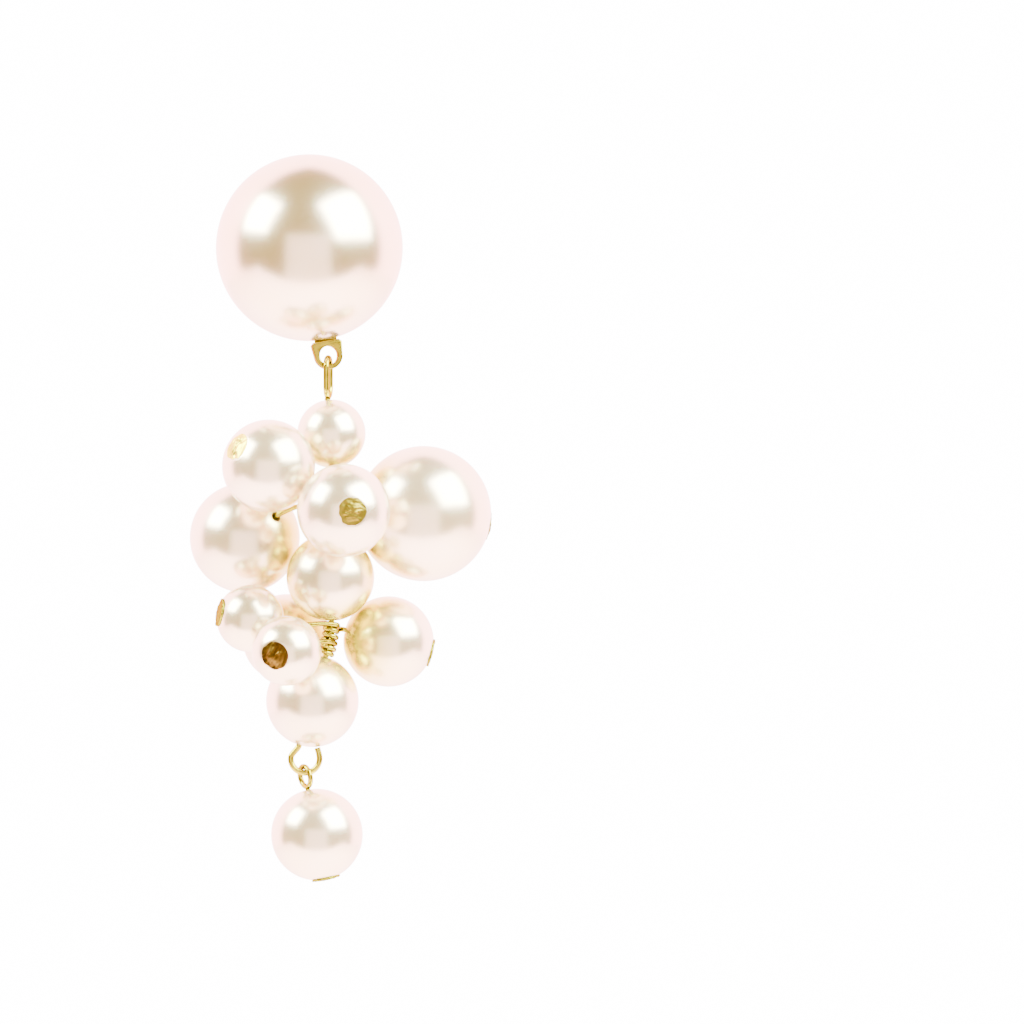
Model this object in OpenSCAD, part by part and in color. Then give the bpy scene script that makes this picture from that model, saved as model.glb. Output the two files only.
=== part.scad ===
// Cluster earring: a half pearl stud, and a stem of pearls that hangs from its lug.
// The origin is on the axis of the ear post, at the back face of the stud.
// +Z is up, the stud faces -Y and the ear is on the +Y side. Sizes are in millimetres.

/* [Stud] */
// Diameter of the half pearl
stud_d = 20; // [19:0.5:22]
// Thickness of the back plate
plate_t = 0.8; // [0.6:0.1:1.2]
// Width of the half pearl's edge that stands past the plate
plate_inset = 0.7; // [0.5:0.1:1]
// Diameter of the ear post
post_d = 0.8; // [0.7:0.05:1]
// Length of the ear post behind the plate
post_l = 10; // [9:0.5:12]

/* [Lug] */
// Diameter of the lug's hole
hole_d = 2; // [1.9:0.1:2.4]
// Width of metal round the hole
lug_wall = 0.5; // [0.4:0.05:0.6]
// Thickness of the lug
lug_t = 1.1; // [0.9:0.1:1.2]
// From the edge of the half pearl to the centre of the hole
lug_drop = 1.69; // [1.6:0.05:2.2]
// Turn of the stud about its post, which carries the lug sideways
lug_turn = 9.9; // [0:0.1:12]
// Turn of the lug about the line that it hangs on
lug_yaw = 12; // [0:1:15]

/* [Wires] */
// Diameter of the stem wire
stem_d = 0.65; // [0.6:0.01:0.7]
// Diameter of the pins that carry the side pearls
pin_d = 0.56; // [0.5:0.01:0.58]
// Diameter of a pin's flat head
head_d = 3; // [2.6:0.1:3.2]
// Thickness of a pin's flat head
head_t = 0.4; // [0.3:0.05:0.5]
// Straight length of the eye that hangs in the lug
eye_straight = 2; // [1.8:0.05:2.4]
// Radius of the open ring under the stem, to the middle of its wire
ring_r = 1.54; // [1.45:0.01:1.7]
// From the lowest point of the base pearl to the middle of that ring
ring_drop = 1.22; // [1.15:0.01:1.4]
// Middle of that ring to the right of the foot of the base pearl's bore
ring_side = 0.65; // [0.5:0.01:0.8]
// Radius of the round eye of the hanging pearl, to the middle of its wire
drop_eye_r = 1.1; // [1.05:0.01:1.15]

/* [Pearls] */
// Diameter of the neck pearl, the highest on the stem
neck_d = 7.3; // [7:0.1:7.6]
// Diameter of the middle pearl of the stem
middle_d = 9.4; // [9:0.1:9.5]
// Diameter of the base pearl, the lowest on the stem
base_d = 9.9; // [9.5:0.1:10.2]
// Diameter of the pearl that hangs under the stem
drop_d = 9.8; // [9:0.1:11]
// Diameter of a pearl's bore
bore_d = 1.1; // [1:0.05:1.2]
// Least gap between two pearls
pearl_gap = 0.1; // [0.05:0.05:0.2]

/* [Hang of the stem] */
// Lean of the neck pearl, its foot to the right
neck_lean = 6.8; // [0:0.1:8]
// Lean of the middle pearl
middle_lean = 1.5; // [0:0.1:3]
// Lean of the base pearl, its foot to the left
base_lean = -16.7; // [-18:0.1:-10]
// Neck pearl to the right of the lug's hole
neck_x = 0.35; // [0.2:0.05:0.5]
// Middle pearl to the right of the hole
middle_x = 0.23; // [0.1:0.01:0.4]
// Base pearl to the right of the hole, so a minus puts it on the left
base_x = -1.69; // [-1.8:0.01:-1.2]
// Lean of the hanging pearl, its foot to the right
drop_lean = 11.4; // [8:0.1:13]

/* [Clearances] */
// Gap between pieces that are held against each other
gap = 0.05; // [0.04:0.01:0.06]
// Gap between two turns of a coil
turn_gap = 0.05; // [0.04:0.005:0.06]

/* [Hidden] */

// Side pearls in the order of their coils, from the top. Columns: name, pearl's diameter,
// azimuth and rise of the line from the stem to the pearl, bare wire from coil to pearl,
// coil (0 upper, 1 lower), hand and turns of the pin's coil, azimuth and rise of its head.
SIDES = [
    ["upper_left", 9.9, -144, 3, 2.85, 0, 1, 2, -140, 25],
    ["large", 14.5, 13, -16, 1.9, 0, -1, 2, 8, -11],
    ["left", 11.8, 157, -19, 4.05, 0, 1, 2.05, 130, -23],
    ["front", 9.9, -80, 5, 3.4, 0, 1, 2.1, -78, -1],
    ["small", 7.2, -161, 4, 4.6, 1, 1, 1, -167, 11],
    ["right", 9.7, 26, -8, 1.1, 1, 1, 1, 2, -15],
    ["low_front", 7.4, -118, -5, 4.75, 1, 1, 0.4, -110, -7],
    ["back", 9.5, 124, 5, 2.7, 1, 1, 1.35, 124, 9],
];
name_col = 0;
dia_col = 1;
azimuth_col = 2;
rise_col = 3;
bare_col = 4;
coil_col = 5;
hand_col = 6;
turns_col = 7;
head_azimuth_col = 8;
head_rise_col = 9;

pearl_colour = "#f1e2d6";
gold_colour = "#d8a03f";
round_fn = 48;
stem_sides = 8;
pin_sides = 6;
turn_steps = 12;
bend_steps = 8;
lead_steps = 10;
ring_steps = 20;

function unit(v) = v / norm(v);
function ray(azimuth, rise) = [cos(rise) * cos(azimuth), cos(rise) * sin(azimuth), sin(rise)];
function down(lean) = [sin(lean), 0, -cos(lean)];
function part_turn(a) = a - 360 * floor(a / 360);

// A bend is [start, start direction, end, end direction], and u runs along it from 0 to 1.
function bend(b, u) = let (m = norm(b[2] - b[0]))
    (2 * u^3 - 3 * u^2 + 1) * b[0] + (u^3 - 2 * u^2 + u) * m * b[1]
    + (3 * u^2 - 2 * u^3) * b[2] + (u^3 - u^2) * m * b[3];
function bend_heading(b, u) = let (m = norm(b[2] - b[0]))
    unit((6 * u^2 - 6 * u) * (b[0] - b[2]) + (3 * u^2 - 4 * u + 1) * m * b[1]
    + (3 * u^2 - 2 * u) * m * b[3]);

// Lug and the eye in its hole: the eye's arc rests on the two edges of the lug's lower bar.
lug_r = hole_d / 2 + lug_wall;
hang_y = -lug_t / 2 * cos(lug_yaw) - lug_r * sin(lug_yaw);
lug_reach = stud_d / 2 + lug_drop;
hole = [lug_reach * sin(lug_turn), hang_y, -lug_reach * cos(lug_turn)];
eye_turn = 10;
bar_half = lug_t / 2 / cos(lug_yaw + eye_turn);
eye_side_gap = 0.13;
eye_r = bar_half + stem_d / 2 + eye_side_gap;
eye_inner = eye_r - stem_d / 2 - gap;
eye_top = hole - [0, 0, hole_d / 2 + sqrt(eye_inner^2 - bar_half^2)];
eye_foot = eye_top - [0, 0, eye_straight + eye_r];

// Coils: each pin starts where the one above ends. A pin wound the same way ends short of
// the next one's start by end_gap, and one wound the other way is a whole turn clear.
pitch = pin_d + turn_gap;
end_gap = 95 / 360;
coil_r = stem_d / 2 + pin_d / 2 + gap;
coil_outer = coil_r + pin_d / 2;
function start_angle(i) = SIDES[i][azimuth_col] + 90 * SIDES[i][hand_col];
function next_same(i) = i + 1 < len(SIDES) && SIDES[i + 1][coil_col] == SIDES[i][coil_col]
    && SIDES[i + 1][hand_col] == SIDES[i][hand_col];
function turns(i) = !next_same(i) ? SIDES[i][turns_col] :
    let (past = part_turn((start_angle(i + 1) - start_angle(i)) * SIDES[i][hand_col]) / 360 - end_gap)
    past + max(past > 0.3 ? 0 : 1, round(SIDES[i][turns_col] - past));
function coil_start(i) = i == 0 || SIDES[i - 1][coil_col] != SIDES[i][coil_col] ? pin_d / 2 + gap :
    coil_start(i - 1) + pitch * (turns(i - 1) + (next_same(i - 1) ? end_gap : 1));
function last_of(coil) = max([for (i = [0 : len(SIDES) - 1]) if (SIDES[i][coil_col] == coil) i]);
function coil_length(coil) = let (i = last_of(coil)) coil_start(i) + pitch * turns(i) + pin_d / 2 + gap;

// Stem: eye, neck pearl, upper coil, middle pearl, lower coil, base pearl and ring.
function seat(d) = sqrt(d^2 / 4 - (head_d / 2 + gap)^2);
neck = [hole.x + neck_x, hang_y, eye_foot.z - stem_d / 2 - gap - neck_d / 2 * cos(neck_lean)];
neck_top = neck - neck_d / 2 * down(neck_lean);
neck_foot = neck + neck_d / 2 * down(neck_lean);
middle = [hole.x + middle_x, hang_y, neck_foot.z - coil_length(0) - middle_d / 2 * cos(middle_lean)];
middle_top = middle - middle_d / 2 * down(middle_lean);
middle_foot = middle + middle_d / 2 * down(middle_lean);
base = [hole.x + base_x, hang_y, middle_foot.z - coil_length(1) - base_d / 2 * cos(base_lean)];
base_top = base - base_d / 2 * down(base_lean);
base_foot = base + base_d / 2 * down(base_lean);
BENDS = [
    [neck_foot, down(neck_lean), middle_top, down(middle_lean)],
    [middle_foot, down(middle_lean), base_top, down(base_lean)],
];

// Open ring: the wire leaves the base pearl's bore, goes round, and its tip comes back up to
// the pearl.
ring = [base_foot.x + ring_side, hang_y, base.z - base_d / 2 - ring_drop];
ring_low = ring - [0, 0, ring_r];
tip_side = 6;
tip_lean = 12;
tip = base + (base_d / 2 + 2 * gap) * down(tip_side);
FIRST_ARM = [base_foot, down(base_lean), ring - [ring_r, 0, 0], [0, 0, -1]];
LAST_ARM = [ring + [ring_r, 0, 0], [0, 0, 1], tip, -down(tip_lean)];

// Side pearls: each stands off along its line until it clears the pearls placed before it.
STEM_PEARLS = [[neck, neck_d], [middle, middle_d], [base, base_d]];
function clear_reach(from, along, d, other) =
    let (to = other[0] - from, room = (d + other[1]) / 2 + pearl_gap, side = norm(cross(to, along)))
    side >= room ? 0 : to * along + sqrt(room^2 - side^2);
function root(i) = let (c = SIDES[i][coil_col]) bend(BENDS[c], coil_start(i) / coil_length(c));
function side_centre(i, placed) =
    let (row = SIDES[i], along = ray(row[azimuth_col], row[rise_col]),
         bare = coil_outer + row[bare_col] + row[dia_col] / 2)
    root(i) + along * max([bare, for (p = placed) clear_reach(root(i), along, row[dia_col], p)]);
function placed(n) = n == 0 ? STEM_PEARLS :
    let (before = placed(n - 1)) concat(before, [[side_centre(n - 1, before), SIDES[n - 1][dia_col]]]);
PLACED = placed(len(SIDES));
function centre(i) = PLACED[len(STEM_PEARLS) + i][0];
function head_dir(i) = ray(SIDES[i][head_azimuth_col], SIDES[i][head_rise_col]);
function row_of(name) = [for (i = [0 : len(SIDES) - 1]) if (SIDES[i][name_col] == name) i][0];

// Hanging pearl: its eye rests on the lowest point of the ring, a little to one side.
drop_eye_turn = -60;
drop_eye_shift = 0.15;
drop_eye_top = (stem_d + pin_d) / 2 + 2 * gap;
drop_eye_foot = drop_eye_top - 2 * drop_eye_r;
drop_centre = drop_eye_foot - pin_d / 2 - gap - drop_d / 2;

// Points of a pin: from its head through the pearl, then a bend, then its coil on the stem.
function coil_point(c, s, angle) =
    let (u = s / coil_length(c), side = unit(cross(bend_heading(BENDS[c], u), [0, 1, 0])))
    bend(BENDS[c], u) + coil_r * (cos(angle) * side + sin(angle) * [0, 1, 0]);
function pin_path(i) =
    let (row = SIDES[i], c = row[coil_col], h = head_dir(i), hand = row[hand_col],
         s = coil_start(i), a = start_angle(i), first = coil_point(c, s, a),
         on = unit(coil_point(c, s + pitch / 100, a + hand * 3.6) - first),
         out = centre(i) - (row[dia_col] / 2 + 2 * gap) * h,
         steps = round(turns(i) * turn_steps))
    [centre(i) + (seat(row[dia_col]) + gap + head_t / 2) * h,
     for (k = [0 : lead_steps]) bend([out, -h, first, on], k / lead_steps),
     for (k = [1 : steps]) coil_point(c, s + pitch * k / turn_steps, a + hand * 360 * k / turn_steps)];
STEM_PATH = [
    eye_foot, neck_top,
    for (k = [0 : bend_steps]) bend(BENDS[0], k / bend_steps),
    for (k = [0 : bend_steps]) bend(BENDS[1], k / bend_steps),
    for (k = [0 : bend_steps - 1]) bend(FIRST_ARM, k / bend_steps),
    for (k = [0 : ring_steps]) let (a = 180 + 180 * k / ring_steps) ring + ring_r * [cos(a), 0, sin(a)],
    for (k = [1 : bend_steps]) bend(LAST_ARM, k / bend_steps),
];

// Wire of a few sides along a path, its corners kept in step from point to point.
module wire(path, d, sides) {
    n = len(path);
    t = [for (i = [0 : n - 1]) unit(path[min(i + 1, n - 1)] - path[max(i - 1, 0)])];
    first = unit(cross(t[0], abs(t[0].x) < 0.7 ? [1, 0, 0] : [0, 1, 0]));
    across = [for (i = 0, v = first; i < n; i = i + 1,
        v = i < n ? unit(v - (v * t[i]) * t[i]) : v) v];
    points = [for (i = [0 : n - 1], k = [0 : sides - 1]) let (a = 360 * k / sides)
        path[i] + d / 2 * (cos(a) * across[i] + sin(a) * cross(t[i], across[i]))];
    walls = [for (i = [0 : n - 2], k = [0 : sides - 1])
        let (a = i * sides + k, b = i * sides + (k + 1) % sides)
        each [[a, a + sides, b + sides], [a, b + sides, b]]];
    polyhedron(points, concat([[for (k = [0 : sides - 1]) k]], walls,
        [[for (k = [sides - 1 : -1 : 0]) (n - 1) * sides + k]]));
}

// Turns what is built on +Z to lie along a direction.
module along(v) {
    rotate([0, acos(v.z / norm(v)), atan2(v.y, v.x)]) children();
}

// Arc of round wire in the XZ plane, from an angle that counts from +X towards +Z.
module arc(r, d, from, sweep) {
    rotate([90, 0, 0]) rotate([0, 0, from])
        rotate_extrude(angle = sweep, $fn = round_fn) translate([r, 0]) circle(d = d, $fn = round_fn);
}

// Long closed eye in the XZ plane, with its upper arc's centre at the origin.
module eye(r, straight, d) {
    arc(r, d, 0, 180);
    translate([0, 0, -straight]) arc(r, d, 180, 180);
    for (x = [-r, r]) translate([x, 0, -straight]) cylinder(d = d, h = straight, $fn = round_fn);
}

// Pearl with a bore along a direction, cut flat where a pin's head sits.
module pearl(d, v, seated) {
    color(pearl_colour) along(v) difference() {
        sphere(d = d, $fn = round_fn);
        cylinder(d = bore_d, h = 2 * d, center = true, $fn = round_fn);
        if (seated) translate([0, 0, seat(d)]) cylinder(d = d, h = d, $fn = round_fn);
    }
}

module head(d) {
    translate([0, 0, seat(d) + gap]) cylinder(d = head_d, h = head_t, $fn = round_fn);
}

module side_pearl(name) {
    i = row_of(name);
    translate(centre(i)) pearl(SIDES[i][dia_col], head_dir(i), true);
}

module side_pin(name) {
    i = row_of(name);
    color(gold_colour) {
        wire(pin_path(i), pin_d, pin_sides);
        translate(centre(i)) along(head_dir(i)) head(SIDES[i][dia_col]);
    }
}

// Lug: a round end with a flat top at the edge of the half pearl, and a tongue on the plate.
module lug() {
    top = lug_drop - 2 * gap;
    shoulder = lug_r + 0.15;
    tongue_w = 2.4;
    tongue = [tongue_w, plate_t, 3.2];
    rotate([0, -lug_turn, 0]) {
        translate([0, hang_y, -lug_reach]) rotate([0, 0, lug_yaw]) difference() {
            union() {
                rotate([90, 0, 0]) cylinder(r = lug_r, h = lug_t, center = true, $fn = round_fn);
                rotate([90, 0, 0]) linear_extrude(lug_t, center = true)
                    polygon([[-lug_r + 0.05, 0], [lug_r - 0.05, 0], [shoulder, top - 0.3],
                             [shoulder - 0.3, top], [0.3 - shoulder, top], [-shoulder, top - 0.3]]);
            }
            rotate([90, 0, 0]) cylinder(d = hole_d, h = 2 * lug_t, center = true, $fn = round_fn);
        }
        translate([-tongue_w / 2, -plate_t, 0.55 - stud_d / 2 - top / 2]) cube(tongue);
    }
}

module stud_setting() {
    color(gold_colour) {
        rotate([90, 0, 0]) cylinder(d = stud_d - 2 * plate_inset, h = plate_t, $fn = 2 * round_fn);
        translate([0, -plate_t / 2, 0]) rotate([-90, 0, 0])
            cylinder(d = post_d, h = post_l + plate_t / 2, $fn = round_fn);
        lug();
    }
}

module stud_pearl() {
    color(pearl_colour) translate([0, -plate_t - gap, 0]) intersection() {
        sphere(d = stud_d, $fn = 2 * round_fn);
        translate([-stud_d, -stud_d, -stud_d]) cube([2 * stud_d, stud_d, 2 * stud_d]);
    }
}

module stem_wire() {
    color(gold_colour) {
        translate(eye_top) rotate([0, 0, 90 - eye_turn]) eye(eye_r, eye_straight, stem_d);
        wire(STEM_PATH, stem_d, stem_sides);
    }
}

module neck_pearl() {
    translate(neck) pearl(neck_d, down(neck_lean), false);
}

module middle_pearl() {
    translate(middle) pearl(middle_d, down(middle_lean), false);
}

module base_pearl() {
    translate(base) pearl(base_d, down(base_lean), false);
}

// Carries the hanging pearl and its pin, built upright, to their lean under the ring.
module drop_frame() {
    translate(ring_low) rotate([0, -drop_lean, 0]) rotate([0, 0, drop_eye_turn])
        translate([-drop_eye_shift, 0, 0]) children();
}

module drop_pearl() {
    drop_frame() translate([0, 0, drop_centre]) pearl(drop_d, [0, 0, -1], true);
}

module drop_pin() {
    color(gold_colour) drop_frame() {
        translate([0, 0, drop_eye_top - drop_eye_r]) arc(drop_eye_r, pin_d, 0, 360);
        translate([0, 0, drop_centre - seat(drop_d) - gap - head_t / 2])
            cylinder(d = 0.92 * pin_d, h = drop_eye_foot - drop_centre + seat(drop_d) + gap + head_t / 2,
                $fn = round_fn);
        translate([0, 0, drop_centre]) along([0, 0, -1]) head(drop_d);
    }
}

stud_setting();
stud_pearl();
stem_wire();
neck_pearl();
middle_pearl();
base_pearl();
side_pearl("upper_left");  // upper_left_pearl
side_pin("upper_left");  // upper_left_pin
side_pearl("large");  // large_pearl
side_pin("large");  // large_pin
side_pearl("left");  // left_pearl
side_pin("left");  // left_pin
side_pearl("front");  // front_pearl
side_pin("front");  // front_pin
side_pearl("small");  // small_pearl
side_pin("small");  // small_pin
side_pearl("right");  // right_pearl
side_pin("right");  // right_pin
side_pearl("low_front");  // low_front_pearl
side_pin("low_front");  // low_front_pin
side_pearl("back");  // back_pearl
side_pin("back");  // back_pin
drop_pearl();
drop_pin();
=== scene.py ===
"""Looks of a pearl cluster earring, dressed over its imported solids.

Lengths are millimetres and become metres through MM, but the studio's are metres. Angles
are degrees. The frame is the model's own: +Z up, the stud faces -Y, and the ear post runs
along +Y from the origin.
"""
import math
from collections import namedtuple

import bpy
from mathutils import Matrix, Vector


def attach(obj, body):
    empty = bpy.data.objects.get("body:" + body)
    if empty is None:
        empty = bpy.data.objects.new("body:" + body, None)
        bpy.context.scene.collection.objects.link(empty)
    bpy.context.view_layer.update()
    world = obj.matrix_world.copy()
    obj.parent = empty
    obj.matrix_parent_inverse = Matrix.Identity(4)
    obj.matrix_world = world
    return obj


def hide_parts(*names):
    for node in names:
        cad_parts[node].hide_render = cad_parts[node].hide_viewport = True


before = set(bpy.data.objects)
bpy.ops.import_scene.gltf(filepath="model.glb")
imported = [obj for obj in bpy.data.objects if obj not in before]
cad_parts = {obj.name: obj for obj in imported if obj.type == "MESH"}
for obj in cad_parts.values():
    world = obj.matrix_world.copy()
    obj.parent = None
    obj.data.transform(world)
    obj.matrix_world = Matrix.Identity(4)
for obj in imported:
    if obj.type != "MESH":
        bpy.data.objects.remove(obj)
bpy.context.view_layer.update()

MM = 0.001
GAP = 0.05

# Stud and lug
STUD_D = 20.0
PLATE_T = 0.8
PLATE_INSET = 0.7
POST_D = 0.8
POST_L = 10.0
HOLE_D = 2.0
LUG_WALL = 0.5
LUG_T = 1.1
LUG_DROP = 1.69
LUG_TOP = LUG_DROP - 2 * GAP
LUG_SHOULDER = 0.15
LUG_CORNER = 0.3
LUG_TURN = 9.9
LUG_YAW = 12.0
TONGUE_W = 2.4
TONGUE_H = 3.2
TONGUE_LIFT = 0.55
TONGUE_INSET = 0.02

# Wires
STEM_D = 0.65
PIN_D = 0.56
EYE_STRAIGHT = 2.0
EYE_TURN = 10.0
EYE_SIDE_GAP = 0.13
RING_R = 1.54
RING_DROP = 1.22
RING_SIDE = 0.65
TIP_SIDE = 6.0
TIP_LEAN = 12.0
DROP_EYE_R = 1.1
DROP_EYE_TURN = -60.0
DROP_EYE_SHIFT = 0.15
DROP_SHAFT_D = 0.92 * PIN_D
DROP_LEAN = 11.4

# Pin heads: their size, their rings of faces, and the waves that make them uneven
HEAD_D = 3.0
HEAD_T = 0.4
HEAD_LIFT = 0.01
HEAD_RINGS = 12
HEAD_RING_W = 0.11
CROWN_REACH = 1.6
OUTLINE_WAVE = 1.1
OUTLINE_DEPTH = 0.4
FACE_WAVE = 0.2
FACE_DEPTH = 0.2
FACE_FADE = 0.2
FACE_SQUEEZE = 0.3

# Pearls
NECK_D = 7.3
MIDDLE_D = 9.4
BASE_D = 9.9
DROP_D = 9.8
BORE_D = 1.1
NECK_LEAN = 6.8
MIDDLE_LEAN = 1.5
BASE_LEAN = -16.7
NECK_X = 0.35
MIDDLE_X = 0.23
BASE_X = -1.69

# Rounded edges, the angles from which an edge is rounded or shaded sharp, and the steps that
# curves and round pieces are made in
DOME_EDGE = 0.25
PLATE_EDGE = 0.2
POST_EDGE = 0.25
TONGUE_EDGE = 0.12
LUG_EDGE = 0.12
DRILLED_EDGE = 0.16
SEATED_EDGE = 0.05
HEAD_EDGE = 0.07
HEAD_EDGE_SHARE = 0.45
SHARP_ANGLE = 35
SMOOTH_ANGLE = 40
WIRE_ANGLE = 50
HEAD_ANGLE = 60
UPWARD = 0.99
WELD = 0.001
PEARL_ROUND = 96
PEARL_ARC = 64
DOME_ROUND = 160
DOME_ARC = 56
PLATE_ROUND = 128
POST_ROUND = 32
HEAD_ROUND = 72
LUG_STEP = 6
WIRE_STEPS = 5
ARC_STEPS = 32
LEAD_STEPS = 28
TURN_STEPS = 32
SHAFT_STEPS = 24
ARM_STEPS = 16
RING_STEPS = 48
DROP_EYE_STEPS = 64

# Coils, packed one pin under the other from the top of each stretch of the stem
TURN_GAP = 0.05
PITCH = PIN_D + TURN_GAP
END_GAP = 95 / 360
LEAST_TURN = 0.3
TINY_TURN = 0.01

# Each side pearl's diameter, its direction from the stem, the bare wire between them, its
# pin's coil, that coil's hand and turns, and the direction of the pin's head
Side = namedtuple("Side", "name dia azimuth rise bare coil hand turns head_azimuth head_rise")
SIDES = [
    Side("upper_left", 9.9, -144, 3, 2.85, 0, 1, 2, -140, 25),
    Side("large", 14.5, 13, -16, 1.9, 0, -1, 2, 8, -11),
    Side("left", 11.8, 157, -19, 4.05, 0, 1, 2.05, 130, -23),
    Side("front", 9.9, -80, 5, 3.4, 0, 1, 2.1, -78, -1),
    Side("small", 7.2, -161, 4, 4.6, 1, 1, 1, -167, 11),
    Side("right", 9.7, 26, -8, 1.1, 1, 1, 1, 2, -15),
    Side("low_front", 7.4, -118, -5, 4.75, 1, 1, 0.4, -110, -7),
    Side("back", 9.5, 124, 5, 2.7, 1, 1, 1.35, 124, 9),
]


def cosd(a):
    return math.cos(math.radians(a))


def sind(a):
    return math.sin(math.radians(a))


def ray(azimuth, rise):
    return Vector((cosd(rise) * cosd(azimuth), cosd(rise) * sind(azimuth), sind(rise)))


def down(lean):
    return Vector((sind(lean), 0, -cosd(lean)))


def about(axis, angle):
    return Matrix.Rotation(math.radians(angle), 4, axis)


def shift(move):
    return Matrix.Translation(Vector(move) * MM)


def place(centre, direction):
    """Matrix that carries what is built round +Z to a centre, along a direction."""
    return shift(centre) @ Vector((0, 0, 1)).rotation_difference(direction).to_matrix().to_4x4()


def bend(b, u):
    """Point at u on a smooth bend from b[0], heading b[1], to b[2], heading b[3]."""
    m = (b[2] - b[0]).length
    return ((2 * u**3 - 3 * u**2 + 1) * b[0] + (u**3 - 2 * u**2 + u) * m * b[1]
            + (3 * u**2 - 2 * u**3) * b[2] + (u**3 - u**2) * m * b[3])


def bend_heading(b, u):
    m = (b[2] - b[0]).length
    return ((6 * u**2 - 6 * u) * (b[0] - b[2]) + (3 * u**2 - 4 * u + 1) * m * b[1]
            + (3 * u**2 - 2 * u) * m * b[3]).normalized()


def seat(dia):
    """Height of the flat that a pin's head sits on, above the pearl's centre."""
    return math.sqrt(dia**2 / 4 - (HEAD_D / 2 + GAP)**2)


def start_angle(i):
    return SIDES[i].azimuth + 90 * SIDES[i].hand


def next_same(i):
    after = SIDES[i + 1] if i + 1 < len(SIDES) else None
    return bool(after) and after.coil == SIDES[i].coil and after.hand == SIDES[i].hand


def turns(i):
    """Turns of a pin round the stem. It ends END_GAP before the next pin of its hand starts."""
    if not next_same(i):
        return SIDES[i].turns
    past = ((start_angle(i + 1) - start_angle(i)) * SIDES[i].hand) % 360 / 360 - END_GAP
    return past + max(0 if past > LEAST_TURN else 1, round(SIDES[i].turns - past))


def coil_start(i):
    if i == 0 or SIDES[i - 1].coil != SIDES[i].coil:
        return PIN_D / 2 + GAP
    return coil_start(i - 1) + PITCH * (turns(i - 1) + (END_GAP if next_same(i - 1) else 1))


def coil_length(coil):
    last = max(i for i, side in enumerate(SIDES) if side.coil == coil)
    return coil_start(last) + PITCH * turns(last) + PIN_D / 2 + GAP


COIL_R = STEM_D / 2 + PIN_D / 2 + GAP
COIL_OUTER = COIL_R + PIN_D / 2
COIL_LENGTHS = [coil_length(0), coil_length(1)]

# Stem, from the lug's hole down to the ring
LUG_R = HOLE_D / 2 + LUG_WALL
HANG_Y = -LUG_T / 2 * cosd(LUG_YAW) - LUG_R * sind(LUG_YAW)
LUG_REACH = STUD_D / 2 + LUG_DROP
HOLE = Vector((LUG_REACH * sind(LUG_TURN), HANG_Y, -LUG_REACH * cosd(LUG_TURN)))
BAR_HALF = LUG_T / 2 / cosd(LUG_YAW + EYE_TURN)
EYE_R = BAR_HALF + STEM_D / 2 + EYE_SIDE_GAP
EYE_TOP = HOLE - Vector((0, 0, HOLE_D / 2 + math.sqrt((EYE_R - STEM_D / 2 - GAP)**2 - BAR_HALF**2)))
EYE_FOOT = EYE_TOP - Vector((0, 0, EYE_STRAIGHT + EYE_R))


def on_stem(x, z):
    return Vector((HOLE.x + x, HANG_Y, z))


NECK = on_stem(NECK_X, EYE_FOOT.z - STEM_D / 2 - GAP - NECK_D / 2 * cosd(NECK_LEAN))
NECK_TOP = NECK - NECK_D / 2 * down(NECK_LEAN)
NECK_FOOT = NECK + NECK_D / 2 * down(NECK_LEAN)
MIDDLE = on_stem(MIDDLE_X, NECK_FOOT.z - COIL_LENGTHS[0] - MIDDLE_D / 2 * cosd(MIDDLE_LEAN))
MIDDLE_TOP = MIDDLE - MIDDLE_D / 2 * down(MIDDLE_LEAN)
MIDDLE_FOOT = MIDDLE + MIDDLE_D / 2 * down(MIDDLE_LEAN)
BASE = on_stem(BASE_X, MIDDLE_FOOT.z - COIL_LENGTHS[1] - BASE_D / 2 * cosd(BASE_LEAN))
BASE_TOP = BASE - BASE_D / 2 * down(BASE_LEAN)
BASE_FOOT = BASE + BASE_D / 2 * down(BASE_LEAN)
STEM_PEARLS = [
    ("neck", NECK_D, NECK, NECK_LEAN),
    ("middle", MIDDLE_D, MIDDLE, MIDDLE_LEAN),
    ("base", BASE_D, BASE, BASE_LEAN),
]
BENDS = [
    (NECK_FOOT, down(NECK_LEAN), MIDDLE_TOP, down(MIDDLE_LEAN)),
    (MIDDLE_FOOT, down(MIDDLE_LEAN), BASE_TOP, down(BASE_LEAN)),
]
RING = Vector((BASE_FOOT.x + RING_SIDE, HANG_Y, BASE.z - BASE_D / 2 - RING_DROP))
RING_LOW = RING - Vector((0, 0, RING_R))
TIP = BASE + (BASE_D / 2 + 2 * GAP) * down(TIP_SIDE)
FIRST_ARM = (BASE_FOOT, down(BASE_LEAN), RING - Vector((RING_R, 0, 0)), Vector((0, 0, -1)))
LAST_ARM = (RING + Vector((RING_R, 0, 0)), Vector((0, 0, 1)), TIP, -down(TIP_LEAN))

# Hanging pearl, in its own upright frame under the ring, its head turned down
DROP_EYE_TOP = (STEM_D + PIN_D) / 2 + 2 * GAP
DROP_EYE_FOOT = DROP_EYE_TOP - 2 * DROP_EYE_R
DROP_CENTRE = DROP_EYE_FOOT - PIN_D / 2 - GAP - DROP_D / 2
DROP_FRAME = (shift(RING_LOW) @ about("Y", -DROP_LEAN) @ about("Z", DROP_EYE_TURN)
              @ shift((-DROP_EYE_SHIFT, 0, 0)))
DROP_TURN = shift((0, 0, DROP_CENTRE)) @ about("X", 180)


def side_centre(i):
    side = SIDES[i]
    root = bend(BENDS[side.coil], coil_start(i) / COIL_LENGTHS[side.coil])
    return root + (COIL_OUTER + side.bare + side.dia / 2) * ray(side.azimuth, side.rise)


def side_turn(i):
    """Place of a side pearl and its pin's head, both built round +Z."""
    return place(side_centre(i), ray(SIDES[i].head_azimuth, SIDES[i].head_rise))


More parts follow.
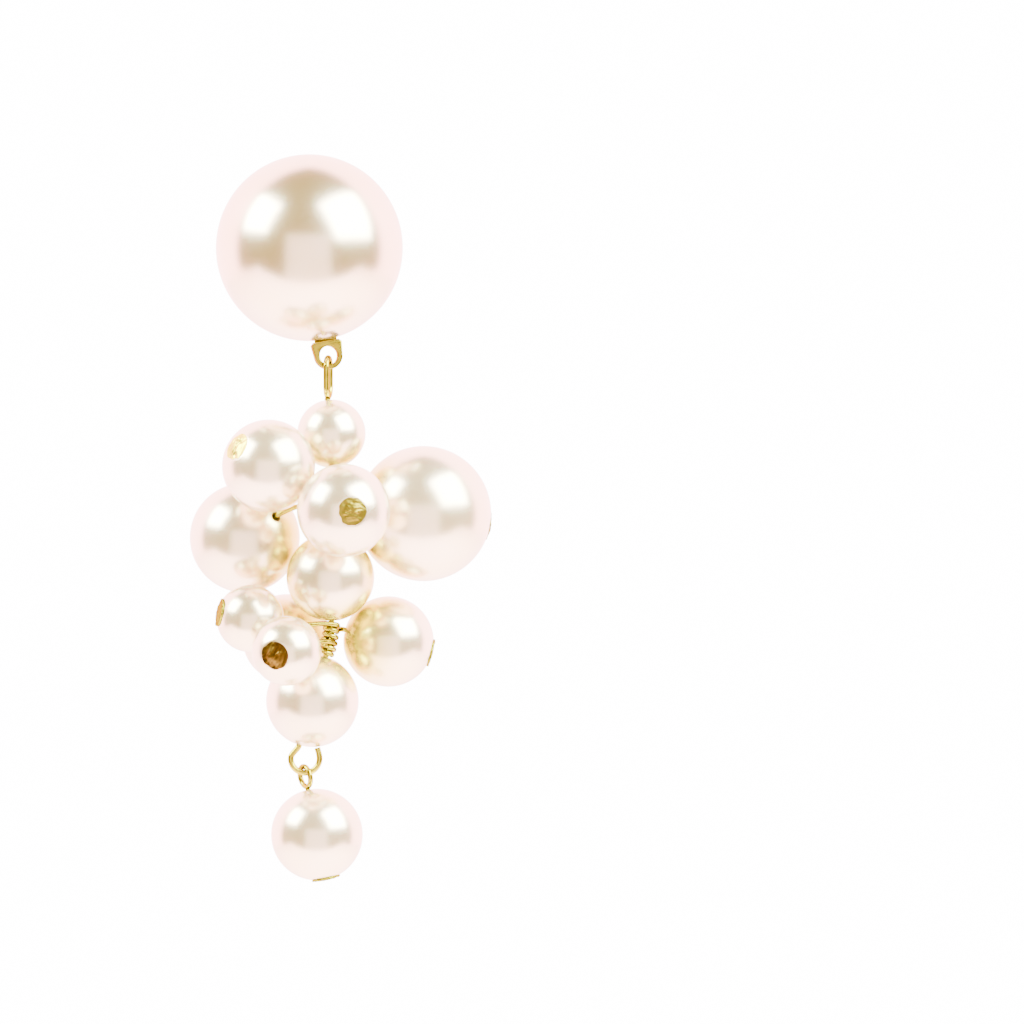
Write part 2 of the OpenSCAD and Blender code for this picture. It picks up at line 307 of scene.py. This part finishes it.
def coil_point(coil, s, angle):
    u = s / COIL_LENGTHS[coil]
    side = bend_heading(BENDS[coil], u).cross(Vector((0, 1, 0))).normalized()
    return bend(BENDS[coil], u) + COIL_R * (cosd(angle) * side + sind(angle) * Vector((0, 1, 0)))


def pin_path(i):
    """Middle of a pin's wire: out of its pearl, over to the stem and round it."""
    side = SIDES[i]
    head = ray(side.head_azimuth, side.head_rise)
    centre = side_centre(i)

    def wound(turn):
        return coil_point(side.coil, coil_start(i) + PITCH * turn,
                          start_angle(i) + side.hand * 360 * turn)

    first = wound(0)
    on = (wound(TINY_TURN) - first).normalized()
    out = centre - (side.dia / 2 + 2 * GAP) * head
    top = centre + (seat(side.dia) + GAP + HEAD_T / 2) * head
    lead = [bend((out, -head, first, on), k / LEAD_STEPS) for k in range(LEAD_STEPS + 1)]
    steps = round(turns(i) * TURN_STEPS)
    return [top] + lead + [wound(k / TURN_STEPS) for k in range(1, steps + 1)]


def arc_points(centre, r, start, sweep, across=Vector((1, 0, 0)), steps=ARC_STEPS):
    """Points of an arc that turns from the direction across towards +Z."""
    up = Vector((0, 0, 1))
    angles = [start + sweep * k / steps for k in range(steps + 1)]
    return [centre + r * (cosd(a) * across + sind(a) * up) for a in angles]


# Mesh makers
def pick(obj):
    bpy.ops.object.select_all(action="DESELECT")
    obj.select_set(True)
    bpy.context.view_layer.objects.active = obj


def settle(obj, turn=None):
    """Puts a piece's place into its mesh, after an optional turn and move."""
    if turn is not None:
        obj.matrix_world = turn
    pick(obj)
    bpy.ops.object.transform_apply(location=True, rotation=True, scale=True)
    return obj


def add(primitive, **shape):
    """Adds a primitive with nothing else selected, and puts its place into its mesh."""
    bpy.ops.object.select_all(action="DESELECT")
    primitive(**shape)
    return settle(bpy.context.object)


def weld(obj):
    """Joins points that lie on one another and turns the faces outwards."""
    pick(obj)
    bpy.ops.object.mode_set(mode="EDIT")
    bpy.ops.mesh.select_all(action="SELECT")
    bpy.ops.mesh.remove_doubles(threshold=WELD * MM)
    bpy.ops.mesh.normals_make_consistent(inside=False)
    bpy.ops.object.mode_set(mode="OBJECT")
    return obj


def smooth(obj, angle=SMOOTH_ANGLE):
    """Shades a piece smooth, but for the edges that turn by more than the angle."""
    pick(obj)
    bpy.ops.object.shade_smooth_by_angle(angle=math.radians(angle))
    return obj


def soften(obj, width, segments=3):
    """Rounds the sharp edges of a piece and shades it smooth."""
    pick(obj)
    bevel = obj.modifiers.new("rounded edges", "BEVEL")
    bevel.width = width * MM
    bevel.segments = segments
    bevel.limit_method = "ANGLE"
    bevel.angle_limit = math.radians(SHARP_ANGLE)
    bpy.ops.object.modifier_apply(modifier=bevel.name)
    return smooth(obj)


def outline_curve(name, dimensions):
    curve = bpy.data.curves.new(name, "CURVE")
    curve.dimensions = dimensions
    return curve


def outline_mesh(curve, outlines, closed=True):
    """Mesh of a curve that runs along outlines."""
    for points in outlines:
        spline = curve.splines.new("POLY")
        spline.points.add(len(points) - 1)
        for knot, point in zip(spline.points, points):
            knot.co = (*(point * MM), 1)
        spline.use_cyclic_u = closed
    obj = bpy.data.objects.new(curve.name, curve)
    bpy.context.scene.collection.objects.link(obj)
    pick(obj)
    bpy.ops.object.convert(target="MESH")
    return bpy.context.object


def tube(name, points, diameter, closed=False):
    """Round wire along points, as a mesh."""
    curve = outline_curve(name, "3D")
    curve.bevel_depth = diameter / 2 * MM
    curve.bevel_resolution = WIRE_STEPS
    curve.use_fill_caps = True
    return smooth(weld(outline_mesh(curve, [points], closed)), WIRE_ANGLE)


def turned(name, profile, segments, closed=True):
    """Solid turned round +Z from a profile in the plane of +X and +Z: a closed one, or an
    open one that starts and ends on the axis."""
    obj = outline_mesh(outline_curve(name, "3D"), [profile], closed)
    screw = obj.modifiers.new("turned", "SCREW")
    screw.axis = "Z"
    screw.angle = math.radians(360)
    screw.steps = segments
    screw.render_steps = segments
    bpy.ops.object.modifier_apply(modifier=screw.name)
    return weld(obj)


def press(obj, name, weight, size, depth, direction, middle):
    """Moves the points of a piece by cloudy noise times their weight. The noise runs from
    -middle to 1 - middle, times the depth."""
    group = obj.vertex_groups.new(name=name)
    for v in obj.data.vertices:
        group.add([v.index], weight(v.co / MM), "REPLACE")
    clouds = bpy.data.textures.new(name, "CLOUDS")
    clouds.noise_scale = size * MM
    clouds.noise_depth = 1
    pick(obj)
    waves = obj.modifiers.new(name, "DISPLACE")
    waves.texture = clouds
    waves.vertex_group = group.name
    waves.direction = direction
    waves.mid_level = middle
    waves.strength = depth * MM
    bpy.ops.object.modifier_apply(modifier=waves.name)
    obj.vertex_groups.clear()


def join(name, pieces):
    bpy.ops.object.select_all(action="DESELECT")
    for piece in pieces:
        piece.select_set(True)
    bpy.context.view_layer.objects.active = pieces[0]
    bpy.ops.object.join()
    whole = bpy.context.object
    whole.name = name
    return whole


def paint(obj, material):
    obj.data.materials.clear()
    obj.data.materials.append(material)
    return obj


def dress(obj, body, slot, *nodes):
    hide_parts(*nodes)
    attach(obj, body)


# Materials. A pattern's scale is about how many times it changes in a metre, and its spread
# is where in the pattern one colour gives way to the other.
CLOUD_SCALE = 180.0
GRAIN_SCALE = 6000.0
PATCH_SCALE = 900.0
PIT_SCALE = 3500.0
COARSE_DETAIL = 3.0
FINE_DETAIL = 2.0
CLOUD_SPREAD = (0.35, 0.7)
PATCH_SPREAD = (0.3, 0.65)
BUMP_DEPTH = 0.02
GRAIN = 0.12
FINE_PITS = 0.15
HEAD_PITS = 0.45
ROUGH_PITS = 0.55
COAT = 0.4
COAT_ROUGHNESS = 0.18
GOLD_EDGE = (0.45, 0.28, 0.08)
PALE_EDGE = (0.95, 0.90, 0.60)

# Painted reflection of the gold wires, a yellow mixed into the pearls' colour: how far round the
# stem it is full and how far it reaches, how far in front of the stem it starts, and the margin
# of its fades at the stem and at the neck and base pearls
PAINTED_REFLECTION_YELLOW = (0.77, 0.70, 0.04)
PAINTED_REFLECTION_FULL = 3.0
PAINTED_REFLECTION_REACH = 8.5
PAINTED_REFLECTION_FRONT = 4.5
PAINTED_REFLECTION_MARGIN = 1.0


def new_material(name):
    material = bpy.data.materials.new(name)
    material.use_nodes = True
    tree = material.node_tree
    shader = tree.nodes["Principled BSDF"]
    return material, tree, shader


def combine(tree, operation, a, b):
    """Result of a sum on two values, each a number or another node's output."""
    node = tree.nodes.new("ShaderNodeMath")
    node.operation = operation
    for socket, value in zip(node.inputs, (a, b)):
        if isinstance(value, (int, float)):
            socket.default_value = value
        else:
            tree.links.new(value, socket)
    return node.outputs["Value"]


def product(tree, *values):
    whole = values[0]
    for value in values[1:]:
        whole = combine(tree, "MULTIPLY", whole, value)
    return whole


def rise(tree, value, start, end):
    """Smooth climb from 0 at start to 1 at end, which may lie below start."""
    node = tree.nodes.new("ShaderNodeMapRange")
    node.interpolation_type = "SMOOTHSTEP"
    node.inputs["From Min"].default_value = min(start, end)
    node.inputs["From Max"].default_value = max(start, end)
    node.inputs["To Min"].default_value = 0.0 if start < end else 1.0
    node.inputs["To Max"].default_value = 1.0 if start < end else 0.0
    tree.links.new(value, node.inputs["Value"])
    return node.outputs["Result"]


def blend(tree, amount, under, over):
    """Mix of two colours, each a colour or another node's output."""
    node = tree.nodes.new("ShaderNodeMix")
    node.data_type = "RGBA"
    tree.links.new(amount, node.inputs["Factor"])
    for socket, value in ((node.inputs["A"], under), (node.inputs["B"], over)):
        if isinstance(value, tuple):
            socket.default_value = (*value, 1)
        else:
            tree.links.new(value, socket)
    return node.outputs["Result"]


def x_y_z(tree, coordinates):
    coords = tree.nodes.new("ShaderNodeTexCoord")
    split = tree.nodes.new("ShaderNodeSeparateXYZ")
    tree.links.new(coords.outputs[coordinates], split.inputs["Vector"])
    return [split.outputs[axis] for axis in "XYZ"]


def noise(tree, scale, detail):
    coords = tree.nodes.new("ShaderNodeTexCoord")
    texture = tree.nodes.new("ShaderNodeTexNoise")
    texture.inputs["Scale"].default_value = scale
    texture.inputs["Detail"].default_value = detail
    tree.links.new(coords.outputs["Object"], texture.inputs["Vector"])
    return texture.outputs["Fac"]


def ramp(tree, source, spread, *colours):
    node = tree.nodes.new("ShaderNodeValToRGB")
    tree.links.new(source, node.inputs["Fac"])
    for stop, position, colour in zip(node.color_ramp.elements, spread, colours):
        stop.position = position
        stop.color = (*colour, 1)
    return node.outputs["Color"]


def bump(tree, shader, height, strength):
    node = tree.nodes.new("ShaderNodeBump")
    node.inputs["Strength"].default_value = strength
    node.inputs["Distance"].default_value = BUMP_DEPTH * MM
    tree.links.new(height, node.inputs["Height"])
    tree.links.new(node.outputs["Normal"], shader.inputs["Normal"])


def painted_stem_reflection(tree):
    """Mask of the painted reflection of the gold wires: 1 beside and behind the stem between the
    neck and base pearls, fading out round it.
    """
    x, y, z = x_y_z(tree, "Object")
    aside = combine(tree, "POWER", combine(tree, "SUBTRACT", x, MIDDLE.x * MM), 2.0)
    ahead = combine(tree, "POWER", combine(tree, "SUBTRACT", y, MIDDLE.y * MM), 2.0)
    away = combine(tree, "SQRT", combine(tree, "ADD", aside, ahead), 0.0)
    near = rise(tree, away, PAINTED_REFLECTION_REACH * MM, PAINTED_REFLECTION_FULL * MM)
    facing = rise(tree, y, (MIDDLE.y - PAINTED_REFLECTION_FRONT) * MM, (MIDDLE.y - PAINTED_REFLECTION_MARGIN) * MM)
    below = rise(tree, z, (NECK.z + PAINTED_REFLECTION_MARGIN) * MM, (NECK_FOOT.z - PAINTED_REFLECTION_MARGIN) * MM)
    above = rise(tree, z, BASE.z * MM, (BASE_TOP.z + PAINTED_REFLECTION_MARGIN) * MM)
    return product(tree, near, facing, below, above)


def pearl_lacquer(name, cream, pink, metallic, roughness, painted_reflection=False):
    """Pearl lacquer: cream with pink clouds, a fine grain and a clear glossy coat. Where the
    pearls crowd round the gold wires, a painted reflection of their yellow is mixed in."""
    material, tree, shader = new_material(name)
    tint = ramp(tree, noise(tree, CLOUD_SCALE, COARSE_DETAIL), CLOUD_SPREAD, cream, pink)
    if painted_reflection:
        # Painted reflection: the gold wires' yellow mixed into the pearls' colour near the stem
        tint = blend(tree, painted_stem_reflection(tree), tint, PAINTED_REFLECTION_YELLOW)
    tree.links.new(tint, shader.inputs["Base Color"])
    shader.inputs["Metallic"].default_value = metallic
    shader.inputs["Roughness"].default_value = roughness
    shader.inputs["Coat Weight"].default_value = COAT
    shader.inputs["Coat Roughness"].default_value = COAT_ROUGHNESS
    bump(tree, shader, noise(tree, GRAIN_SCALE, FINE_DETAIL), GRAIN)
    return material


def gold(name, light, deep, roughness, pits=FINE_PITS, edge=GOLD_EDGE):
    """Gold plate in patches of two tones, with fine pits, and its own colour at its edges."""
    material, tree, shader = new_material(name)
    tint = ramp(tree, noise(tree, PATCH_SCALE, COARSE_DETAIL), PATCH_SPREAD, deep, light)
    tree.links.new(tint, shader.inputs["Base Color"])
    shader.inputs["Metallic"].default_value = 1.0
    shader.inputs["Roughness"].default_value = roughness
    shader.inputs["Specular Tint"].default_value = (*edge, 1)
    bump(tree, shader, noise(tree, PIT_SCALE, FINE_DETAIL), pits)
    return material


STUD_LACQUER = pearl_lacquer("stud_lacquer", (0.94, 0.82, 0.54), (0.97, 0.86, 0.62), 0.97, 0.24)
BEAD_LACQUER = pearl_lacquer("bead_lacquer", (0.96, 0.86, 0.56), (0.98, 0.88, 0.64), 0.85, 0.26,
                             painted_reflection=True)
PLATE_GOLD = gold("plate_gold", (0.36, 0.33, 0.005), (0.24, 0.21, 0.004), 0.18)
STEM_GOLD = gold("stem_gold", (0.56, 0.54, 0.016), (0.36, 0.33, 0.008), 0.16)
PIN_GOLD = gold("pin_gold", (0.46, 0.44, 0.008), (0.29, 0.26, 0.004), 0.16)
SIDE_HEAD_GOLD = gold("side_head_gold", (0.30, 0.34, 0.005), (0.19, 0.20, 0.003), 0.24, HEAD_PITS)
# Lit and shaded copies of the head gold: one with a painted highlight, two with painted shade
PAINTED_HIGHLIGHT_HEAD_GOLD = gold("painted_highlight_head_gold", (0.74, 0.74, 0.05), (0.50, 0.48, 0.02), 0.3,
                        ROUGH_PITS, PALE_EDGE)
PAINTED_SHADE_OLIVE_HEAD_GOLD = gold("painted_shade_olive_head_gold", (0.20, 0.17, 0.012), (0.14, 0.115, 0.008), 0.36,
                       ROUGH_PITS, PALE_EDGE)
PAINTED_SHADE_BROWN_HEAD_GOLD = gold("painted_shade_brown_head_gold", (0.13, 0.085, 0.012), (0.05, 0.025, 0.003), 0.32,
                       ROUGH_PITS, PALE_EDGE)

# Each head's gold, the angle that its waves run along, and how thick it is at its rim. Three
# heads get copies of the head gold painted lighter or darker: a painted highlight and painted shade.
Head = namedtuple("Head", "gold grain rim_t")
PLAIN_HEAD = Head(SIDE_HEAD_GOLD, 70.0, 0.3)
HEADS = {
    "upper_left": Head(PAINTED_HIGHLIGHT_HEAD_GOLD, 20.0, 0.04),
    "large": Head(SIDE_HEAD_GOLD, 70.0, 0.12),
    "front": Head(PAINTED_SHADE_OLIVE_HEAD_GOLD, 8.0, 0.04),
    "low_front": Head(PAINTED_SHADE_BROWN_HEAD_GOLD, 35.0, 0.04),
}


# Pieces
def pearl_ball(name, dia, turn, seated):
    """Pearl round +Z: a bore along its axis and, if seated, a flat for a pin's head."""
    r = dia / 2
    bore_r = BORE_D / 2
    rim = math.degrees(math.acos(bore_r / r))
    top = math.degrees(math.asin(seat(dia) / r)) if seated else rim
    profile = arc_points(Vector((0, 0, 0)), r, -rim, rim + top, steps=PEARL_ARC)
    if seated:
        profile.append(Vector((bore_r, 0, seat(dia))))
    ball = turned(name, profile, PEARL_ROUND)
    soften(ball, SEATED_EDGE if seated else DRILLED_EDGE)
    return settle(paint(ball, BEAD_LACQUER), turn)


def pin_head(dia, turn, head):
    """Thin head of a pin on the flat of its pearl round +Z: thickest in the middle, its face
    wavy and its outline a little uneven."""
    low = seat(dia) + HEAD_LIFT
    disc = add(bpy.ops.mesh.primitive_cylinder_add, vertices=HEAD_ROUND, radius=HEAD_D / 2 * MM,
               depth=head.rim_t * MM, location=(0, 0, (low + head.rim_t / 2) * MM))
    disc.name = "head"
    soften(disc, min(HEAD_EDGE, HEAD_EDGE_SHARE * head.rim_t), segments=4)
    for face in disc.data.polygons:
        face.select = face.normal.z > UPWARD
    bpy.ops.object.mode_set(mode="EDIT")
    for _ in range(HEAD_RINGS):
        bpy.ops.mesh.inset(thickness=HEAD_RING_W * MM)
    bpy.ops.transform.translate(value=(0, 0, (HEAD_T - head.rim_t) * MM), use_proportional_edit=True,
                                proportional_edit_falloff="SMOOTH", proportional_size=CROWN_REACH * MM)
    bpy.ops.object.mode_set(mode="OBJECT")
    for axis in "XY":
        press(disc, "uneven outline", lambda p: 1.0, OUTLINE_WAVE, OUTLINE_DEPTH, axis, middle=0.5)
    squeeze = Matrix.Diagonal((FACE_SQUEEZE, 1, 1, 1))
    settle(disc, squeeze)
    press(disc, "wavy face", lambda p: min(1.0, (p.z - low) / FACE_FADE), FACE_WAVE, FACE_DEPTH, "Z",
          middle=1.0)
    settle(disc, about("Z", head.grain) @ squeeze.inverted())
    return settle(paint(smooth(disc, HEAD_ANGLE), head.gold), turn)


def stud_dome():
    """Half pearl with its flat back against the plate."""
    centre = Vector((0, 0, 0))
    profile = [centre] + arc_points(centre, STUD_D / 2, 0, 90, steps=DOME_ARC)
    dome = soften(turned("stud_dome", profile, DOME_ROUND, closed=False), DOME_EDGE, segments=4)
    return settle(paint(dome, STUD_LACQUER), shift((0, -PLATE_T - GAP, 0)) @ about("X", 90))


def rod(dia, y_from, y_to, sides):
    """Round bar along Y."""
    return add(bpy.ops.mesh.primitive_cylinder_add, vertices=sides, radius=dia / 2 * MM,
               depth=(y_to - y_from) * MM, location=(0, (y_from + y_to) / 2 * MM, 0),
               rotation=(math.radians(90), 0, 0))


def lug_outline():
    """Outer edge of the lug round its hole: a round end below, a flat top with corners."""
    wide = LUG_R + LUG_SHOULDER
    low = [Vector((LUG_R * cosd(a), LUG_R * sind(a), 0)) for a in range(180, 361, LUG_STEP)]
    right = [Vector((wide, LUG_TOP - LUG_CORNER, 0)), Vector((wide - LUG_CORNER, LUG_TOP, 0))]
    left = [Vector((LUG_CORNER - wide, LUG_TOP, 0)), Vector((-wide, LUG_TOP - LUG_CORNER, 0))]
    return low + right + left


def lug_plate():
    """Lug as a flat plate with a round hole and rounded edges."""
    curve = outline_curve("lug", "2D")
    curve.fill_mode = "BOTH"
    curve.extrude = (LUG_T / 2 - LUG_EDGE) * MM
    curve.bevel_depth = LUG_EDGE * MM
    curve.bevel_resolution = 4
    curve.offset = -LUG_EDGE * MM
    hole = [Vector((HOLE_D / 2 * cosd(a), HOLE_D / 2 * sind(a), 0)) for a in range(0, 360, LUG_STEP)]
    lug = smooth(weld(outline_mesh(curve, [lug_outline(), hole])))
    return settle(lug, about("Y", -LUG_TURN) @ shift((0, HANG_Y, -LUG_REACH))
                  @ about("Z", LUG_YAW) @ about("X", 90))


def stud_metal():
    """Back plate, ear post, tongue and lug, soldered into one."""
    plate = soften(rod(STUD_D - 2 * PLATE_INSET, -PLATE_T, 0, PLATE_ROUND), PLATE_EDGE, segments=4)
    post = soften(rod(POST_D, -PLATE_T / 2, POST_L, POST_ROUND), POST_EDGE, segments=4)
    middle = TONGUE_LIFT - STUD_D / 2 - LUG_TOP / 2 + TONGUE_H / 2
    tongue = add(bpy.ops.mesh.primitive_cube_add, size=1, location=(0, -PLATE_T / 2 * MM, middle * MM),
                 scale=(TONGUE_W * MM, (PLATE_T - 2 * TONGUE_INSET) * MM, TONGUE_H * MM))
    settle(soften(tongue, TONGUE_EDGE), about("Y", -LUG_TURN))
    return paint(join("stud_metal", [plate, post, tongue, lug_plate()]), PLATE_GOLD)


def stem():
    """Stem wire: the eye in the lug, the bent shaft and the open ring under the base pearl."""
    across = Vector((cosd(90 - EYE_TURN), sind(90 - EYE_TURN), 0))
    low = EYE_TOP - Vector((0, 0, EYE_STRAIGHT))
    loop = arc_points(EYE_TOP, EYE_R, 0, 180, across) + arc_points(low, EYE_R, 180, 180, across)
    shaft = [EYE_FOOT, NECK_TOP]
    for b in BENDS:
        shaft += [bend(b, k / SHAFT_STEPS) for k in range(SHAFT_STEPS + 1)]
    shaft += [bend(FIRST_ARM, k / ARM_STEPS) for k in range(ARM_STEPS)]
    shaft += arc_points(RING, RING_R, 180, 180, steps=RING_STEPS)
    shaft += [bend(LAST_ARM, k / ARM_STEPS) for k in range(1, ARM_STEPS + 1)]
    pieces = [tube("eye", loop, STEM_D, closed=True), tube("shaft", shaft, STEM_D)]
    return paint(join("stem", pieces), STEM_GOLD)


def side_pin(i):
    side = SIDES[i]
    wire = paint(tube("wire", pin_path(i), PIN_D), PIN_GOLD)
    head = pin_head(side.dia, side_turn(i), HEADS.get(side.name, PLAIN_HEAD))
    return join(side.name + "_pin_wire", [wire, head])


def drop_wire():
    """Round eye, shaft and head of the hanging pearl's pin."""
    middle = Vector((0, 0, DROP_EYE_TOP - DROP_EYE_R))
    step = 360 / DROP_EYE_STEPS
    loop = arc_points(middle, DROP_EYE_R, 0, 360 - step, steps=DROP_EYE_STEPS - 1)
    line = [Vector((0, 0, DROP_EYE_FOOT)), Vector((0, 0, DROP_CENTRE - seat(DROP_D) - GAP))]
    eye = paint(tube("drop_eye", loop, PIN_D, closed=True), PIN_GOLD)
    shaft = paint(tube("drop_shaft", line, DROP_SHAFT_D), PIN_GOLD)
    head = pin_head(DROP_D, DROP_TURN, PLAIN_HEAD)
    return settle(join("drop_pin_wire", [eye, shaft, head]), DROP_FRAME)


# Stud
dress(stud_dome(), "stud", "stud_pearl", "stud_pearl")
dress(stud_metal(), "stud", "stud_metal", "stud_setting")

# Stem and its three pearls
dress(stem(), "cluster", "stem_metal", "stem_wire")
for label, dia, middle, lean in STEM_PEARLS:
    ball = pearl_ball(label + "_ball", dia, place(middle, down(lean)), seated=False)
    dress(ball, "cluster", "pearl", label + "_pearl")

# Side pearls on their pins
for i, side in enumerate(SIDES):
    ball = pearl_ball(side.name + "_ball", side.dia, side_turn(i), seated=True)
    dress(ball, "cluster", "pearl", side.name + "_pearl")
    dress(side_pin(i), "cluster", "pin_metal", side.name + "_pin")

# Hanging pearl
ball = pearl_ball("drop_ball", DROP_D, DROP_FRAME @ DROP_TURN, seated=True)
dress(ball, "drop", "pearl", "drop_pearl")
dress(drop_wire(), "drop", "pin_metal", "drop_pin")


# Studio, in metres. The room's colours lie by direction, whose x, y and z each run from -1
# to 1. A fade starts at its first number and is complete at its second.
ROOM_DIM = (0.93, 0.62, 0.10)
ROOM_CARD = (4.4, 3.1, 2.8)
ROOM_BRIGHT = (11.5, 6.1, 6.8)
BACK_FADE = (0.05, 0.3)
BACK_TILT = 0.3
BACK_CURVE = 0.4
TABLE_FADE = (-0.28, -0.46)
TABLE_TILT = 0.5
CARD_SIDE_FADE = (0.5, 0.42)
CARD_TOP_FADE = (0.3, 0.2)
CARD_FRONT_FADE = (-0.5, -0.6)
GROUND_WHITE = 16.0
FLOOR_SIZE = 1.6
FLOOR_PLACE = (0, 0.5, -0.3)
FLOOR_COLOUR = (0.92, 0.84, 0.82)
FLOOR_ROUGHNESS = 0.8
FLOOR_GLOW = (1.0, 0.67, 0.73)
FLOOR_GLOW_STRENGTH = 4.6
BOX_AIM = (0, 0, -0.028)
BOX_DISTANCE = 0.45


def softbox(name, towards, size, power):
    """Rectangular area light that shines on the earring from a direction."""
    data = bpy.data.lights.new(name, "AREA")
    data.shape = "RECTANGLE"
    data.size, data.size_y = size
    data.energy = power
    lamp = bpy.data.objects.new(name, data)
    bpy.context.scene.collection.objects.link(lamp)
    away = Vector(towards).normalized()
    lamp.location = Vector(BOX_AIM) + away * BOX_DISTANCE
    lamp.rotation_euler = away.to_track_quat("Z", "Y").to_euler()


def studio_world():
    """Room as the pearls mirror it: a warm dim front, a bright table and back, and a card
    round the camera. The camera itself sees plain white behind the earring."""
    world = bpy.data.worlds.new("studio")
    bpy.context.scene.world = world
    world.use_nodes = True
    tree = world.node_tree
    tree.nodes.clear()
    x, y, z = x_y_z(tree, "Generated")
    beside = combine(tree, "ABSOLUTE", x, 0)
    tilt = combine(tree, "SUBTRACT", product(tree, beside, BACK_CURVE), BACK_TILT)
    back = rise(tree, combine(tree, "ADD", y, product(tree, z, tilt)), *BACK_FADE)
    table = rise(tree, combine(tree, "SUBTRACT", z, product(tree, y, TABLE_TILT)), *TABLE_FADE)
    card = product(tree, rise(tree, beside, *CARD_SIDE_FADE), rise(tree, z, *CARD_TOP_FADE),
                   rise(tree, y, *CARD_FRONT_FADE))
    room = blend(tree, card, ROOM_DIM, ROOM_CARD)
    room = blend(tree, combine(tree, "MAXIMUM", back, table), room, ROOM_BRIGHT)
    light = tree.nodes.new("ShaderNodeBackground")
    tree.links.new(room, light.inputs["Color"])
    white = tree.nodes.new("ShaderNodeBackground")
    white.inputs["Strength"].default_value = GROUND_WHITE
    white.inputs["Color"].default_value = (1, 1, 1, 1)
    rays = tree.nodes.new("ShaderNodeLightPath")
    seen = tree.nodes.new("ShaderNodeMixShader")
    out = tree.nodes.new("ShaderNodeOutputWorld")
    tree.links.new(rays.outputs["Is Camera Ray"], seen.inputs["Fac"])
    tree.links.new(light.outputs["Background"], seen.inputs[1])
    tree.links.new(white.outputs["Background"], seen.inputs[2])
    tree.links.new(seen.outputs["Shader"], out.inputs["Surface"])


def pale_floor():
    floor = add(bpy.ops.mesh.primitive_plane_add, size=FLOOR_SIZE, location=FLOOR_PLACE)
    floor.name = "floor"
    material, _, shader = new_material("pale_floor")
    shader.inputs["Base Color"].default_value = (*FLOOR_COLOUR, 1)
    shader.inputs["Roughness"].default_value = FLOOR_ROUGHNESS
    shader.inputs["Emission Color"].default_value = (*FLOOR_GLOW, 1)
    shader.inputs["Emission Strength"].default_value = FLOOR_GLOW_STRENGTH
    paint(floor, material)


def photo_camera():
    """Long lens straight at the stud's face, framed as the photograph is."""
    photo_px = 1024
    mm_per_px = 0.107
    post_px = (309.4, 247.8)
    distance = 1.0
    sensor_mm = 36
    x = (photo_px / 2 - post_px[0]) * mm_per_px * MM
    z = -(photo_px / 2 - post_px[1]) * mm_per_px * MM
    data = bpy.data.cameras.new("camera")
    data.sensor_width = sensor_mm
    data.lens = sensor_mm * distance / (photo_px * mm_per_px * MM)
    data.clip_end = 10
    camera = bpy.data.objects.new("camera", data)
    bpy.context.scene.collection.objects.link(camera)
    camera.location = (x, -distance + HANG_Y * MM, z)
    camera.rotation_euler = (math.radians(90), 0, 0)
    bpy.context.scene.camera = camera


studio_world()
pale_floor()
softbox("left_box", towards=(-0.78, -0.24, 0.60), size=(0.28, 0.27), power=8.0)
softbox("right_box", towards=(0.69, -0.42, 0.60), size=(0.42, 0.40), power=16.0)
photo_camera()
